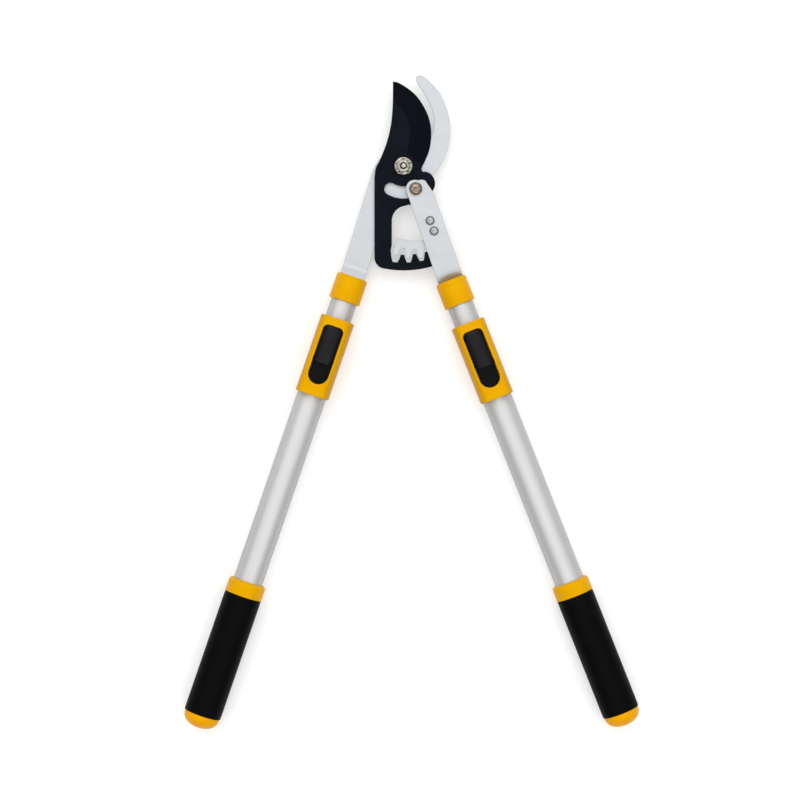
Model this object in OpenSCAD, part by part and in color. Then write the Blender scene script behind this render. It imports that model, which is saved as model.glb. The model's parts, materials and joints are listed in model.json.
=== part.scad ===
// Bypass loppers: a geared jaw on two telescopic handles, lying flat.
// +Y runs from the grips to the jaws, +Z is up, and the tool rests on Z = 0.

/* [Jaw] */
// Thickness of the cutting blade and of the gear sector
blade_t = 4; // [3.6:0.1:4]
// Thickness of the counter blade and of both arms
plate_t = 5; // [4.5:0.1:5]
// Angle of the pivot-to-link line, from straight down the tool
link_angle = 28; // [27.8:0.1:28.2]
// Diameter of the main pivot bolt
pivot_d = 10; // [8:0.5:12]
// Diameter of the link pin's shank
link_d = 6.5; // [6:0.1:6.5]

/* [Gear] */
// Gear module, pitch diameter over tooth count
gear_m = 4; // [3.95:0.05:4.05]
// Teeth on a full turn of the blade's internal gear
ring_teeth = 46; // [46:1:46]
// Teeth on a full turn of the arm's sector
sector_teeth = 33; // [33:1:33]

/* [Handles] */
// Outer diameter of the inner tube
inner_d = 26; // [25.6:0.1:26]
// Outer diameter of the outer tube
outer_d = 29.4; // [29.4:0.1:29.8]
// Wall of both tubes
tube_wall = 1.5; // [1.2:0.1:1.5]
// Distance between the holes that the lock pin drops into
hole_pitch = 50; // [40:1:52]
// Number of lock positions
lock_count = 7; // [3:1:7]
// Diameter of the grip and its end cap
grip_d = 38; // [34:1:38]
// Length of the rubber grip
grip_l = 126.4; // [100:0.2:140]

/* [Lock] */
// Width of the lock housing
housing_w = 36; // [35:1:40]
// Length of the lock housing
housing_l = 80.3; // [78:0.1:90]
// Width of the rocker button
button_w = 19.4; // [17:0.2:20]
// Diameter of the lock pin
pin_d = 5; // [4:0.5:5]

/* [Hidden] */
$fn = 64;
eps = 0.01;

// Heights of the layers, from the surface that the tool lies on
axis_z = grip_d / 2;
layer_gap = 0.1;
blade_z = axis_z - blade_t / 2;
hook_z = blade_z - layer_gap - plate_t;
arm_z = blade_z + blade_t + layer_gap;
tang_z = axis_z - plate_t / 2;

// Gear geometry about the main pivot (ring) and the link pin (sector)
ring_r = gear_m * ring_teeth / 2;
sector_r = gear_m * sector_teeth / 2;
link_r = ring_r - sector_r;
pressure = 20;
backlash = 0.3;
ring_step = 360 / ring_teeth;
sector_step = 360 / sector_teeth;
mesh_phase = 0.17;
ring_tip = ring_r - 0.9 * gear_m;
ring_root = ring_r + 1.05 * gear_m;
sector_tip = sector_r + 0.85 * gear_m;
sector_root = sector_r - 1.4 * gear_m;
sector_inner = sector_r - 14.6;
bar_outer = 104;

// The link pin and the arc slot that it sits in
link = [link_r * sin(link_angle), -link_r * cos(link_angle)];
bush_r = link_d / 2 + 0.75;
shoulder_r = 5.5;
slot_left = -30;
slot_right = 46;
slot_r = 6.25;
slot_end_r = 4.4;
slot_taper = 12;
ear_angle = 49;
ear_r = 12;
rivet_a = [26.5, -54.7];
rivet_b = [30.5, -65];
rivet_r = 4.7;
rivet_shank_r = 2.5;

// A handle is [foot of its axis, angle from straight down, foot to station 0, station of its ferrule's top]
left = [[-11.55, 4.25], -18.95, 121.6, -0.6];
right = [[11.3, -23.4], 21.55, 99.2, -2.2];

// Stations along a handle
tube_start = 3;
housing_t = 44.4;
outer_start = 50;
collar_start = 321.6;
collar_l = 14.8;
grip_start = collar_start + collar_l;
cap_start = grip_start + grip_l;
outer_end = cap_start - 0.1;
pin_t = 62;
axle_t = 88;
spring_t = 104;
screw_t = 117;
inner_end = pin_t + hole_pitch * (lock_count - 1) + 44;
tang_l = 54;
tang_w = 18;
arm_shoulder = 0.2;
bend_l = 15;
bend_room = 1.3;

// Radii shared by the pieces of a handle
inner_r = inner_d / 2;
outer_r = outer_d / 2;
inner_bore = inner_r - tube_wall;
outer_bore = outer_r - tube_wall;
fit = 0.05;
slide_fit = 0.15;
hole_r = pin_d / 2 + 0.7;
ferrule_r = 15.85;
ferrule_l = 26.3;
grip_r = grip_d / 2;
cap_l = 14;
cap_stem_l = 18;

// Heights above a tube's axis inside a lock housing
front_h = 24;
pocket_h = 17;
axle_h = 20;
axle_r = 1.5;
axle_half = 12.6;
pin_top_h = 22;
pin_tip_h = 10.5;
pin_taper = 2.5;
well_h = 15.9;
spring_top_h = 19.6;
button_t0 = 53.6;
button_t1 = 112;
button_gap = 1;

// Points at radius r, and angle a from straight down, positive toward +X
function below(r, a) = [r * sin(a), -r * cos(a)];

// Arc of n chords about c
function arc(c, r, a0, a1, n = 8) =
    [for (i = [0:n]) let (a = a0 + (a1 - a0) * i / n) c + r * [cos(a), sin(a)]];

// Smooth curve through the points p, with n chords between two points
function blend4(a, b, c, d, t) = 0.5 * (2 * b + (c - a) * t
    + (2 * a - 5 * b + 4 * c - d) * t * t + (3 * b - a - 3 * c + d) * t * t * t);
function smooth(p, n = 6) = let (last = len(p) - 1) concat(
    [for (i = [0:last - 1]) for (k = [0:n - 1])
        blend4(p[max(i - 1, 0)], p[i], p[i + 1], p[min(i + 2, last)], k / n)],
    [p[last]]);

// Involute of the pressure angle at radius r, in degrees
function inv(a) = tan(a) * 180 / PI - a;
function roll(r, pitch_r) = let (base = pitch_r * cos(pressure)) r <= base ? 0 : inv(acos(base / r));

// Half the angle of a tooth of the sector, or of a space of the ring, at radius r
function sector_half(r) = 90 / sector_teeth - backlash / sector_r * 180 / PI
    + inv(pressure) - roll(r, sector_r);
function ring_half(r) = 90 / ring_teeth + backlash / ring_r * 180 / PI
    + inv(pressure) - roll(r, ring_r);

flank_steps = 4;
function flank(r0, r1) = [for (i = [0:flank_steps]) r0 + (r1 - r0) * i / flank_steps];

// Centre of ring space k and of sector tooth k, counted from the link line leftward
function ring_space(k) = link_angle - ring_step * (k + mesh_phase);
function sector_tooth(k) = link_angle - sector_step * (k + mesh_phase);

/* ---- jaw ---- */

tail_x = -29;
corner_r = 11;
corner = [tail_x + corner_r, -sqrt((bar_outer - corner_r) ^ 2 - (tail_x + corner_r) ^ 2)];
window_x = -11.6;
bar_end = 27.2;
bar_mid = (ring_root + bar_outer) / 2;
bar_cap_r = (bar_outer - ring_root) / 2;
ear = below(link_r, ear_angle);

cutting_edge = smooth([[-10.6, 84.9], [-5.8, 84.2], [4.4, 78.2], [13.6, 70], [21.5, 58],
    [26.2, 46], [27.9, 33], [26.2, 18], [21.8, 6], [18.4, -0.4]], 5);
blade_back = smooth([[tail_x, -12], [-27.6, -1.8], [-23.6, 6.2], [-17.4, 22], [-13.2, 38],
    [-11.2, 54], [-10.6, 70], [-10.6, 84.9]], 5);

blade_outline = concat(
    cutting_edge,
    arc([20.9, -2.7], 3.1, 135, 265, 6),
    arc(ear, ear_r, 80, -90 + ear_angle, 12),
    [for (a = [40:-8:8]) below(link_r + ear_r + 0.6, a)],
    arc([3.4, -54.2], 15, 98, 180, 8),
    [[window_x, -78], [-12.6, -84], [-12.2, -90]],
    [below(ring_root, -6.4)],
    [for (k = [4:-1:0]) each concat(
        [for (r = flank(ring_tip, ring_root)) if (k < 4) below(r, ring_space(k) - ring_half(r))],
        [for (r = flank(ring_root, ring_tip)) if (k > 0) below(r, ring_space(k) + ring_half(r))])],
    arc(below(bar_mid, bar_end), bar_cap_r, 90 + bar_end, -90 + bar_end, 8),
    [for (a = [bar_end - 3:-3:-6]) below(bar_outer, a)],
    arc(corner, corner_r, atan2(corner.y, corner.x) + 360, 180, 8),
    blade_back);

// Where the ground face of the blade starts
grind_edge = smooth([[-10.6, 66], [-1.5, 55.8], [4.8, 44.5], [6.6, 32], [4.4, 17], [2.9, 13]], 5);
grind_depth = 3.2;
grind_steps = 24;

function along(path, f) = let (x = f * (len(path) - 1), i = min(floor(x), len(path) - 2))
    path[i] + (path[i + 1] - path[i]) * (x - i);

// Wedge that grinds the blade from grind_edge down to the cutting edge
module grind() {
    top = blade_z + blade_t;
    lead = 0.12;
    over = 0.4;
    rows = [for (i = [0:grind_steps]) let (
            f = i / grind_steps,
            inside = along(grind_edge, f),
            edge = along(cutting_edge, 0.02 + 0.96 * f),
            near = inside - lead * (edge - inside),
            far = edge + over * (edge - inside))
        [[near.x, near.y, top + lead * grind_depth], [far.x, far.y, top - (1 + over) * grind_depth],
         [far.x, far.y, top + 2], [near.x, near.y, top + 2]]];
    n = len(rows[0]);
    polyhedron([for (row = rows) each row], concat(
        [[for (j = [0:n - 1]) j]],
        [for (i = [0:grind_steps - 1]) for (j = [0:n - 1]) let (
                a = i * n + j, b = i * n + (j + 1) % n)
            each [[a, a + n, b], [b, a + n, b + n]]],
        [[for (j = [n - 1:-1:0]) grind_steps * n + j]]));
}

module cutting_blade() {
    color("#20242e") difference() {
        translate([0, 0, blade_z]) linear_extrude(blade_t) polygon(blade_outline);
        grind();
        translate([0, 0, blade_z - 1]) cylinder(h = blade_t + 2, r = pivot_d / 2 + fit);
        arc_slot();
    }
}

// Half the slot's width at angle a; it narrows toward the end that the pin meets when the jaw shuts
function slot_half(a) = slot_r - (slot_r - slot_end_r) * max(0, a - slot_taper) / (slot_right - slot_taper);

// Round-ended slot along an arc about the main pivot
module arc_slot() {
    translate([0, 0, blade_z - 1]) linear_extrude(blade_t + 2) polygon(concat(
        [for (a = [slot_left:4:slot_right]) below(link_r + slot_half(a), a)],
        arc(below(link_r, slot_right), slot_end_r, slot_right - 90, slot_right + 90, 12),
        [for (a = [slot_right:-4:slot_left]) below(link_r - slot_half(a), a)],
        arc(below(link_r, slot_left), slot_r, slot_left + 90, slot_left + 270, 14)));
}

hook_outer = smooth([[14, 91], [19.8, 90.6], [28.9, 82.2], [36.4, 73.4], [41.6, 62.4], [45.6, 49],
    [46.9, 36], [45.4, 21.9], [40.5, 8], [34.1, -2.1], [28, -10], [26.5, -22]], 5);
hook_foot = smooth([[26.5, -22], [24, -32], [15, -37.5], [0, -38.3], [-10, -39.5], [-19, -47]], 4);
hook_crown = smooth([[-34, -14.6], [-30, -2.8], [-24.8, 6.4], [-16, 15.5], [-6, 20], [6, 20.4],
    [17, 20.6], [25, 25], [29.6, 33], [31.4, 43], [30.2, 53], [25.6, 65], [19.4, 76], [14.2, 83.4],
    [12.4, 88.6], [14, 91]], 5);

// A point of a handle's own frame, s along it and n to its right, in the plane of the jaw
function on_axis(handle, s, n) = handle[0] + s * [sin(handle[1]), -cos(handle[1])]
    + n * [cos(handle[1]), sin(handle[1])];

// Where an arm's shoulders stop, just above its ferrule, and the tang below them
function shoulder_s(handle) = handle[2] + handle[3] - arm_shoulder;
function tang(handle) = let (s = handle[2], w = tang_w / 2)
    [for (p = [[shoulder_s(handle), w], [s + tang_l - 2, w], [s + tang_l, w - 2], [s + tang_l, 2 - w],
        [s + tang_l - 2, -w], [shoulder_s(handle), -w]]) on_axis(handle, p.x, p.y)];

hook_outline = concat(
    hook_outer, hook_foot,
    [on_axis(left, shoulder_s(left), 12.6)], tang(left),
    [on_axis(left, shoulder_s(left), -12.7)],
    hook_crown);

arm_outline = concat(
    smooth([[4.1, -28.6], [2.7, -22.6], [3.6, -18.6], [6.2, -15.4], [10.4, -14], [14.8, -14.3],
        [18.4, -13.8], [21.9, -15], [24.2, -18.5], [28.2, -24.2], [32, -32.2]], 4),
    [on_axis(right, shoulder_s(right), 13.2)], tang(right),
    [on_axis(right, shoulder_s(right), -12.7)]);

// Side view of an arm that bends from height z0 to the tube's axis as it enters its ferrule
module joggle(handle, z0) {
    s1 = handle[2] + tube_start - arm_shoulder;
    s0 = s1 - bend_l;
    far = handle[2] + tang_l + 10;
    near = -140;
    wide = 200;
    steps = 8;
    bend = [for (i = [0:steps])
        [s0 + (s1 - s0) * i / steps, z0 + (tang_z - z0) * (1 - cos(180 * i / steps)) / 2]];
    translate([handle[0].x, handle[0].y, 0]) rotate([0, 0, handle[1] - 90]) rotate([90, 0, 0])
        translate([0, 0, -wide / 2]) linear_extrude(wide) polygon(concat(
            [[near, z0]], bend, [[far, tang_z], [far, tang_z + plate_t]],
            [for (i = [steps:-1:0]) bend[i] + [0, plate_t]], [[near, z0 + plate_t]]));
}

module hook_arm() {
    color("#d6dadd") difference() {
        intersection() {
            linear_extrude(2 * axis_z) polygon(hook_outline);
            joggle(left, hook_z);
        }
        cylinder(h = axis_z, r = pivot_d / 2 + fit);
        translate([link.x, link.y, 0]) cylinder(h = axis_z, r = link_d / 2 + fit);
        tang_holes(left);
    }
}

module right_arm() {
    color("#d6dadd") difference() {
        intersection() {
            linear_extrude(2 * axis_z) polygon(arm_outline);
            joggle(right, arm_z);
        }
        translate([link.x, link.y, axis_z]) cylinder(h = axis_z, r = shoulder_r + fit);
        for (p = [rivet_a, rivet_b])
            translate([p.x, p.y, axis_z]) cylinder(h = axis_z, r = rivet_shank_r + fit);
        tang_holes(right);
    }
}

sector_left = sector_tooth(4) - sector_half(sector_r) - 0.2;
sector_right = 31;
tab_r = 8;

sector_rim = concat(
    [for (a = [sector_right:-4:sector_left]) link + below(sector_inner, a)],
    [link + below(sector_inner, sector_left)],
    [link + below(sector_root + 2, sector_left)],
    [for (k = [4:-1:0]) each concat(
        [for (r = flank(sector_root, sector_tip)) link + below(r, sector_tooth(k) - sector_half(r))],
        [for (r = flank(sector_tip, sector_root)) link + below(r, sector_tooth(k) + sector_half(r))])],
    [link + below(sector_root, sector_right)]);

module gear_sector() {
    color("#c9cdd0") difference() {
        translate([0, 0, arm_z - blade_t]) linear_extrude(blade_t) union() {
            polygon(sector_rim);
            hull() {
                translate(rivet_a) circle(tab_r);
                translate(rivet_b) circle(tab_r);
                translate(link + below(sector_inner + 5, 18)) circle(6);
            }
            hull() {
                translate(rivet_b) circle(tab_r);
                translate(link + below(sector_inner + 5, 27)) circle(4);
                translate(link + below(sector_inner + 5, 18)) circle(4);
            }
        }
        for (p = [rivet_a, rivet_b])
            translate([p.x, p.y, blade_z - 1]) cylinder(h = blade_t + 3, r = rivet_shank_r + fit);
    }
}

module sector_rivets() {
    head_h = 1.8;
    top = arm_z + plate_t;
    color("#b9bcbe") for (p = [rivet_a, rivet_b]) translate([p.x, p.y, 0]) {
        translate([0, 0, arm_z - blade_t]) cylinder(h = blade_t + plate_t, r = rivet_shank_r);
        translate([0, 0, top]) cylinder(h = head_h, r1 = rivet_r, r2 = rivet_r - 1.4);
    }
}

head_h = 5.5;
washer_h = 1;
nut_r = 8.9;
nut_h = 5.6;

module hexagon(across, h) {
    cylinder(h = h, r = across / sqrt(3), $fn = 6);
}

module pivot_bolt() {
    length = arm_z + washer_h + nut_h + 0.8 - hook_z;
    color("#9a9c9e") {
        translate([0, 0, hook_z - head_h]) hexagon(16, head_h);
        translate([0, 0, hook_z - eps]) cylinder(h = length, r = pivot_d / 2);
    }
}

module pivot_washer() {
    color("#b0b0ac") translate([0, 0, arm_z]) difference() {
        cylinder(h = washer_h, r = nut_r - 0.3);
        translate([0, 0, -1]) cylinder(h = washer_h + 2, r = pivot_d / 2 + fit);
    }
}

module pivot_nut() {
    notch = 1.6;
    color("#a7a296") translate([0, 0, arm_z + washer_h]) difference() {
        cylinder(h = nut_h, r = nut_r);
        translate([0, 0, -1]) cylinder(h = nut_h + 2, r = pivot_d / 2);
        for (a = [20:72:308]) rotate([0, 0, a])
            translate([nut_r - 2.6, -notch / 2, 1.4]) cube([5, notch, nut_h]);
    }
}

pin_shoulder = arm_z + 0.05;

module link_pin() {
    head = 2.8;
    nut_room = 6;
    color("#c4c7c9") translate([link.x, link.y, 0]) {
        translate([0, 0, hook_z - nut_room]) cylinder(h = pin_shoulder - hook_z + nut_room, r = link_d / 2);
        translate([0, 0, pin_shoulder]) cylinder(h = plate_t + layer_gap, r = shoulder_r);
        translate([0, 0, pin_shoulder + plate_t + layer_gap]) difference() {
            cylinder(h = head, r = 6.7);
            translate([0, 0, head - 1]) difference() {
                cylinder(h = 2, r = 5.6);
                translate([0, 0, -1]) cylinder(h = 4, r = 4.4);
            }
            translate([0, 0, head - 0.8]) cylinder(h = 2, r = 2);
        }
    }
}

module slot_bush() {
    z = hook_z + plate_t;
    color("#8d8f90") translate([link.x, link.y, z]) difference() {
        cylinder(h = arm_z - z - 0.05, r = bush_r);
        translate([0, 0, -1]) cylinder(h = plate_t + 2, r = link_d / 2 + fit);
    }
}

module link_nut() {
    color("#9a9c9e") translate([link.x, link.y, hook_z - head_h]) difference() {
        hexagon(14, head_h);
        translate([0, 0, -1]) cylinder(h = head_h + 2, r = link_d / 2);
    }
}

/* ---- handles ---- */

// Puts children on a handle: X across it, Y up from the tube's axis, Z along it from the ferrule
module on_handle(handle) {
    translate([handle[0].x, handle[0].y, axis_z]) rotate([0, 0, handle[1]])
        translate([0, -handle[2], 0]) rotate([90, 0, 0]) children();
}

module pipe(t0, t1, r, bore) {
    translate([0, 0, t0]) difference() {
        cylinder(h = t1 - t0, r = r);
        translate([0, 0, -1]) cylinder(h = t1 - t0 + 2, r = bore);
    }
}

// Cylinder that stands on the tube's axis at station t, from height h0 to h1
module post(t, h0, h1, r) {
    translate([0, h0, t]) rotate([-90, 0, 0]) cylinder(h = h1 - h0, r = r);
}

tang_rivet_r = 2.4;
tang_rivet_t = [9, 18];
tang_rivet_h = sqrt(inner_r ^ 2 - tang_rivet_r ^ 2);

module tang_holes(handle) {
    on_handle(handle) for (t = tang_rivet_t) post(t, -inner_r, inner_r, tang_rivet_r + fit);
}

module tang_rivets(handle) {
    color("#b9bcbe") on_handle(handle)
        for (t = tang_rivet_t) post(t, -tang_rivet_h, tang_rivet_h, tang_rivet_r);
}

module tube_ferrule(handle) {
    color("#f0b10c") on_handle(handle) difference() {
        translate([0, 0, handle[3]]) cylinder(h = ferrule_l, r = ferrule_r);
        translate([0, 0, tube_start]) cylinder(h = ferrule_l, r = inner_r + fit);
        translate([-tang_w / 2 - fit, -plate_t / 2 - bend_room, handle[3] - 1])
            cube([tang_w + 2 * fit, plate_t + 2 * bend_room, tube_start - handle[3] + 2]);
    }
}

module tang_plug(handle) {
    plug_end = tang_l + 2;
    color("#2a2a2a") on_handle(handle) difference() {
        translate([0, 0, tube_start]) cylinder(h = plug_end - tube_start, r = inner_bore - fit);
        translate([-tang_w / 2 - fit, -plate_t / 2 - fit, 0])
            cube([tang_w + 2 * fit, plate_t + 2 * fit, tang_l + 0.5]);
        for (t = tang_rivet_t) post(t, -inner_r, inner_r, tang_rivet_r + fit);
    }
}

module inner_tube(handle) {
    color("#d9dadb") on_handle(handle) difference() {
        pipe(tube_start, inner_end, inner_r, inner_bore);
        for (t = tang_rivet_t) post(t, -inner_r - 1, inner_r + 1, tang_rivet_r + fit);
        for (k = [0:lock_count - 1]) post(pin_t + k * hole_pitch, 0, inner_r + 1, hole_r);
    }
}

module tube_slider(handle) {
    stem = 24;
    flange = 4;
    color("#303030") on_handle(handle) difference() {
        union() {
            translate([0, 0, inner_end - stem]) cylinder(h = stem + flange, r = inner_bore - fit);
            translate([0, 0, inner_end]) cylinder(h = flange, r = outer_bore - fit);
        }
        translate([0, 0, inner_end - stem - 1]) cylinder(h = stem + flange + 2, r = 8);
    }
}

// Clearance slot for the lock pin, which swings a little as it lifts
module pin_slot(h0, h1) {
    r = pin_d / 2 + 0.6;
    swing = 1.2;
    post(pin_t - swing, h0, h1, r);
    post(pin_t + 0.2, h0, h1, r);
    translate([-r, h0, pin_t - swing]) cube([2 * r, h1 - h0, swing + 0.2]);
}

screw_r = 2;
screw_head_r = 3.7;
screw_head_h = 2.2;
screw_sink = 0.6;

module outer_tube(handle) {
    color("#cfd0d1") on_handle(handle) difference() {
        pipe(outer_start, outer_end, outer_r, outer_bore);
        pin_slot(inner_r, outer_r + 1);
        post(screw_t, -outer_r - 1, -inner_r, screw_r);
    }
}

// Rounded box section of the lock housing
module housing_section() {
    hw = housing_w / 2;
    back_r = 9;
    front_r = 6;
    for (x = [-1, 1]) {
        translate([x * (hw - back_r), -grip_r + back_r]) circle(back_r);
        translate([x * (hw - front_r), front_h - front_r]) circle(front_r);
    }
    translate([-hw, -grip_r + back_r]) square([housing_w, front_h + grip_r - back_r - front_r]);
    translate([-hw + back_r, -grip_r]) square([housing_w - 2 * back_r, back_r]);
    translate([-hw + front_r, front_h - front_r]) square([housing_w - 2 * front_r, front_r]);
}

// Button outline from above: squarish at its upper end and round at its lower end
module button_outline(grow = 0) {
    r = button_w / 2;
    top_r = 4.5;
    t_mid = button_t1 - r;
    translate([0, t_mid]) circle(r + grow);
    for (x = [-1, 1]) translate([x * (r - top_r), button_t0 + top_r]) circle(top_r + grow);
    translate([-r - grow, button_t0 + top_r]) square([2 * (r + grow), t_mid - button_t0 - top_r]);
    translate([-r + top_r, button_t0 - grow]) square([2 * (r - top_r), top_r + grow]);
}

// Stands an outline, given as across and along, up from height h0 to h1
module stand(h0, h1) {
    translate([0, h0, 0]) rotate([-90, 0, 0]) mirror([0, 1, 0]) linear_extrude(h1 - h0) children();
}

module lock_housing(handle) {
    color("#eeb011") on_handle(handle) difference() {
        translate([0, 0, housing_t]) linear_extrude(housing_l) housing_section();
        translate([0, 0, housing_t - 1]) cylinder(h = housing_l, r = inner_r + slide_fit);
        translate([0, 0, outer_start]) cylinder(h = housing_l, r = outer_r + fit);
        stand(pocket_h, front_h + 1) button_outline(button_gap);
        pin_slot(0, pocket_h + 1);
        post(spring_t, well_h, pocket_h + 1, 3.2);
        translate([-housing_w / 2 - 1, axle_h, axle_t]) rotate([0, 90, 0])
            cylinder(h = housing_w / 2 + 1 + axle_half, r = axle_r);
        post(screw_t, -grip_r - 1, 0, screw_r);
        post(screw_t, -grip_r - 1, -grip_r + screw_head_h + screw_sink, screw_head_r + 0.2);
    }
}

// Side view of the button, as along and height
button_side = concat(
    [[button_t0, 17.6], [axle_t, 17.6], [button_t1, 20.8], [button_t1, 25]],
    smooth([[button_t1 - 2, 25], [105, 23.7], [98, 23.5], [91.6, 24.9]], 4),
    smooth([[91.1, 25.4], [80, 26], [66, 25.8], [54.5, 24.9], [button_t0, 24.3]], 3));

module lock_button(handle) {
    color("#2b2a2c") on_handle(handle) difference() {
        intersection() {
            stand(pocket_h, front_h + 3) button_outline();
            translate([-button_w, 0, 0]) rotate([0, 90, 0]) mirror([1, 0, 0])
                linear_extrude(2 * button_w) polygon([for (p = button_side) [p.x, p.y]]);
        }
        post(pin_t, 0, pin_top_h, pin_d / 2);
        translate([-button_w, axle_h, axle_t]) rotate([0, 90, 0])
            cylinder(h = 2 * button_w, r = axle_r + 0.1);
    }
}

module lock_pin(handle) {
    color("#b9bcbe") on_handle(handle) {
        post(pin_t, pin_tip_h + pin_taper, pin_top_h, pin_d / 2);
        translate([0, pin_tip_h, pin_t]) rotate([-90, 0, 0])
            cylinder(h = pin_taper + eps, r1 = pin_d / 2 - 0.6, r2 = pin_d / 2);
    }
}

module button_axle(handle) {
    color("#b9bcbe") on_handle(handle) translate([-axle_half, axle_h, axle_t]) rotate([0, 90, 0])
        cylinder(h = 2 * axle_half, r = axle_r);
}

module button_spring(handle) {
    turns = 3;
    wire = 0.5;
    mean_r = 2.4;
    ring_pts = 6;
    steps = 12 * turns;
    rise = spring_top_h - well_h - wire;
    function coil(i, j) = let (
            a = 360 * turns * i / steps,
            b = 360 * j / ring_pts,
            r = mean_r + wire / 2 * cos(b))
        [r * cos(a), well_h + wire / 2 + rise * i / steps + wire / 2 * sin(b), spring_t + r * sin(a)];
    color("#c8c8c8") on_handle(handle) polyhedron(
        [for (i = [0:steps]) for (j = [0:ring_pts - 1]) coil(i, j)],
        concat(
            [[for (j = [ring_pts - 1:-1:0]) j]],
            [for (i = [0:steps - 1]) for (j = [0:ring_pts - 1]) let (
                    a = i * ring_pts + j, b = i * ring_pts + (j + 1) % ring_pts)
                each [[a, b, a + ring_pts], [b, b + ring_pts, a + ring_pts]]],
            [[for (j = [0:ring_pts - 1]) steps * ring_pts + j]]));
}

module housing_screw(handle) {
    head_base = -grip_r + screw_sink;
    tip = -inner_r - 0.2;
    color("#8d8f90") on_handle(handle) {
        post(screw_t, head_base, head_base + screw_head_h, screw_head_r);
        post(screw_t, head_base + screw_head_h - eps, tip, screw_r);
    }
}

module grip_collar(handle) {
    color("#f2ae07") on_handle(handle) pipe(collar_start, grip_start, grip_r, outer_r + fit);
}

module grip_sleeve(handle) {
    color("#1f1e1e") on_handle(handle) pipe(grip_start, cap_start, grip_r, outer_r + fit);
}

module end_cap(handle) {
    dome = [for (a = [0:6:84]) [grip_r * cos(a), cap_l * sin(a)]];
    color("#d89a10") on_handle(handle) translate([0, 0, cap_start]) {
        rotate_extrude($fn = 64) polygon(concat([[0, 0]], dome, [[0, cap_l]]));
        translate([0, 0, -cap_stem_l]) cylinder(h = cap_stem_l + eps, r = outer_bore - fit);
    }
}

/* ---- place ---- */

// Half sizes of an end cap's shadow in the plane, and the box of the whole tool
function cap_at(handle) = on_axis(handle, handle[2] + cap_start, 0);
function cap_x(handle) = sqrt((cap_l * sin(handle[1])) ^ 2 + (grip_r * cos(handle[1])) ^ 2);
function cap_y(handle) = sqrt((cap_l * cos(handle[1])) ^ 2 + (grip_r * sin(handle[1])) ^ 2);
box_x = [cap_at(left).x - cap_x(left), cap_at(right).x + cap_x(right)];
box_y = [min(cap_at(left).y - cap_y(left), cap_at(right).y - cap_y(right)),
    max([for (p = hook_outer) p.y])];

module placed() {
    translate([-(box_x[0] + box_x[1]) / 2, -(box_y[0] + box_y[1]) / 2, 0]) children();
}

placed() cutting_blade();
placed() hook_arm();
placed() right_arm();
placed() gear_sector();
placed() sector_rivets();
placed() pivot_bolt();
placed() pivot_washer();
placed() pivot_nut();
placed() link_pin();
placed() slot_bush();
placed() link_nut();
placed() tube_ferrule(left);  // left_tube_ferrule
placed() tang_plug(left);  // left_tang_plug
placed() tang_rivets(left);  // left_tang_rivets
placed() inner_tube(left);  // left_inner_tube
placed() tube_slider(left);  // left_tube_slider
placed() outer_tube(left);  // left_outer_tube
placed() lock_housing(left);  // left_lock_housing
placed() lock_button(left);  // left_lock_button
placed() lock_pin(left);  // left_lock_pin
placed() button_axle(left);  // left_button_axle
placed() button_spring(left);  // left_button_spring
placed() housing_screw(left);  // left_housing_screw
placed() grip_collar(left);  // left_grip_collar
placed() grip_sleeve(left);  // left_grip_sleeve
placed() end_cap(left);  // left_end_cap
placed() tube_ferrule(right);  // right_tube_ferrule
placed() tang_plug(right);  // right_tang_plug
placed() tang_rivets(right);  // right_tang_rivets
placed() inner_tube(right);  // right_inner_tube
placed() tube_slider(right);  // right_tube_slider
placed() outer_tube(right);  // right_outer_tube
placed() lock_housing(right);  // right_lock_housing
placed() lock_button(right);  // right_lock_button
placed() lock_pin(right);  // right_lock_pin
placed() button_axle(right);  // right_button_axle
placed() button_spring(right);  // right_button_spring
placed() housing_screw(right);  // right_housing_screw
placed() grip_collar(right);  // right_grip_collar
placed() grip_sleeve(right);  // right_grip_sleeve
placed() end_cap(right);  // right_end_cap
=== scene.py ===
import json
from math import atan2, cos, hypot, pi, radians, sin, sqrt, tan

import bmesh
import bpy
from mathutils import Matrix, Vector


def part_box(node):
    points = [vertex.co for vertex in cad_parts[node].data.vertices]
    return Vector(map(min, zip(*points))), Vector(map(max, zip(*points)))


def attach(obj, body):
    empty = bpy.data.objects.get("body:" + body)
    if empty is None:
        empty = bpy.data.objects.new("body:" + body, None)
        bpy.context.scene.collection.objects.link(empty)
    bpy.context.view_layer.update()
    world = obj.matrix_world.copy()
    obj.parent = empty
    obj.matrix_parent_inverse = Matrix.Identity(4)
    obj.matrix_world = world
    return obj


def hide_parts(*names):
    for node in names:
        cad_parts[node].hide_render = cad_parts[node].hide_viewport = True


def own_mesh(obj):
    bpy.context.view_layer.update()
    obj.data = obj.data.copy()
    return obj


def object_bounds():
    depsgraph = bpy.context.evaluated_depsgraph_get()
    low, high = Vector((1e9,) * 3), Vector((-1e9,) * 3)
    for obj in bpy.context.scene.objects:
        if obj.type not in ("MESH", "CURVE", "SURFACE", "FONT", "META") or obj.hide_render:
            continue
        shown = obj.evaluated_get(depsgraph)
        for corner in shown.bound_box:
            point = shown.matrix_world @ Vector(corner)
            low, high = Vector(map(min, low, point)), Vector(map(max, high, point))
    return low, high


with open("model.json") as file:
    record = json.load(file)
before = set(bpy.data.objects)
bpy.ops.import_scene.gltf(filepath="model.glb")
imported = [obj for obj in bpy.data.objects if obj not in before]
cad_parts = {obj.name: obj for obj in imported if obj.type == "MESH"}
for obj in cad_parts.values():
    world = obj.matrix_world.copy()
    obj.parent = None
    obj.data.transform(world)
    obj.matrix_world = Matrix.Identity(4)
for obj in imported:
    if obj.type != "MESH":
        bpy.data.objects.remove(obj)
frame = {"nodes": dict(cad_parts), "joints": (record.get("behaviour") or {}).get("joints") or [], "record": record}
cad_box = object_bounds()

MM = 0.001
STEPS = 96  # sides of a round piece
SHARP = radians(32)  # faces that meet at more than this keep a sharp edge

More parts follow.
